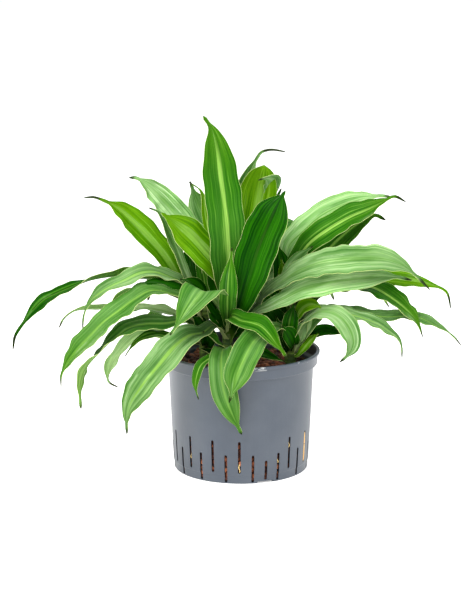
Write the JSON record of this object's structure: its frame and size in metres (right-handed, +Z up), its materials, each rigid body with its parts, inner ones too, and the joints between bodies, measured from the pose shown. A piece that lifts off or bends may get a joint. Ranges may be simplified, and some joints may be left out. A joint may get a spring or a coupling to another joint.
{
  "type": "potted dracaena",
  "caption": "Leafy house plant with long striped strap leaves on short stems, standing in a slotted round culture pot filled with clay granulate.",
  "frame": {"origin": "on the floor, at the centre of the pot's flat base", "axes": "+Z up, -Y towards the front of the plant, +X to its right seen from the front"},
  "size_m": [0.699, 0.4166, 0.5636],
  "materials": {
    "pot_plastic": "moulded slate grey polypropylene, satin, slightly lighter where light grazes the wall",
    "fired_clay": "matt red-brown expanded clay pebbles with darker pores",
    "root": "tan, slightly glossy living root",
    "foliage": "satin green strap leaves with a light yellow-green middle stripe, fine lengthwise veins, cream edges and paler undersides"
  },
  "bodies": {
    "root": {"culture_pot": "pot_plastic", "clay_granulate": "fired_clay", "root_in_slot": "root", "leafy_shoot_centre": "foliage", "leafy_shoot_left": "foliage", "leafy_shoot_right": "foliage", "leafy_shoot_back": "foliage"}
  },
  "joints": []
}
